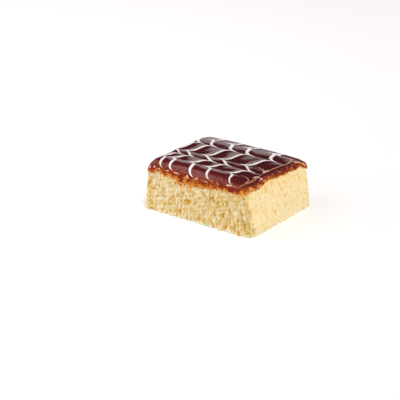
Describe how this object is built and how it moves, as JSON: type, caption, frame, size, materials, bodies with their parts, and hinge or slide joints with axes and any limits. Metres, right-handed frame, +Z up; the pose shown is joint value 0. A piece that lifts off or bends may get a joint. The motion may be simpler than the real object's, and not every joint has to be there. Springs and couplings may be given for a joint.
{
  "type": "tres leches cake",
  "caption": "Rectangular block of milk-soaked yellow sponge with a glossy dark caramel glaze over its top, feathered with white cream lines.",
  "frame": {"origin": "middle of the base, on the surface that the cake stands on", "axes": "+X along the long side, towards the knife-cut face; +Y towards the back, away from the edge that the glaze is poured over; +Z up"},
  "size_m": [0.09, 0.072, 0.0361],
  "materials": {
    "sponge": "moist open crumb, matte",
    "caramel": "wet mirror gloss, amber where thin",
    "cream": "smooth gloss"
  },
  "bodies": {
    "root": {"sponge": "sponge", "caramel_glaze": "caramel"}
  },
  "joints": []
}
